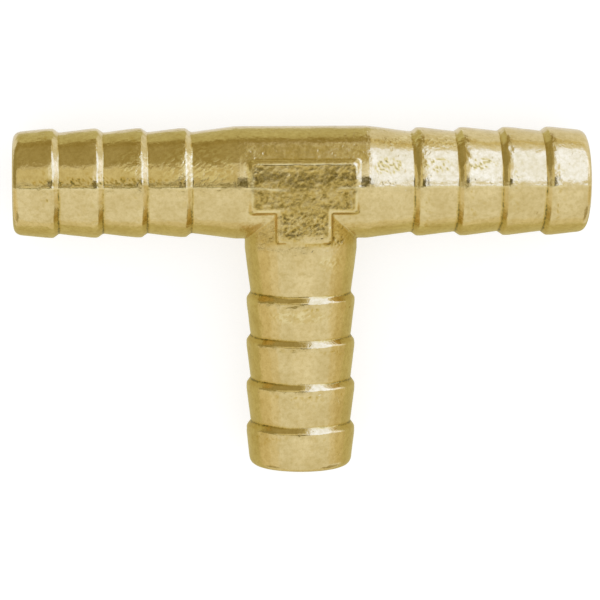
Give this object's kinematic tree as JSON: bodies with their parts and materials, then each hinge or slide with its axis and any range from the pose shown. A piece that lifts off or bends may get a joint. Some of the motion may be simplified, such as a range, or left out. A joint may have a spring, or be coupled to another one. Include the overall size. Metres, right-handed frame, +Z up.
{
  "type": "barbed tee connector",
  "caption": "Brass tee for soft hose: equal barbed stems along the run and the branch of a body with a raised flat pad on each broad side.",
  "frame": {"origin": "centre of the back pad's flat face, on the resting plane, straight below the crossing of the three arm axes", "axes": "+X along the run towards its right end, -Y along the branch, +Z up out of the front pad with the tee lying on its back pad"},
  "size_m": [0.0578, 0.0346, 0.0114],
  "materials": {
    "cast_brass": "as cast, tumbled, slightly rough on the pads",
    "turned_brass": "satin to bright, with fine pits and scratches"
  },
  "bodies": {
    "root": {"tee_body": "cast_brass", "run_stem_left": "turned_brass", "run_stem_right": "turned_brass", "branch_stem": "turned_brass"}
  },
  "joints": []
}
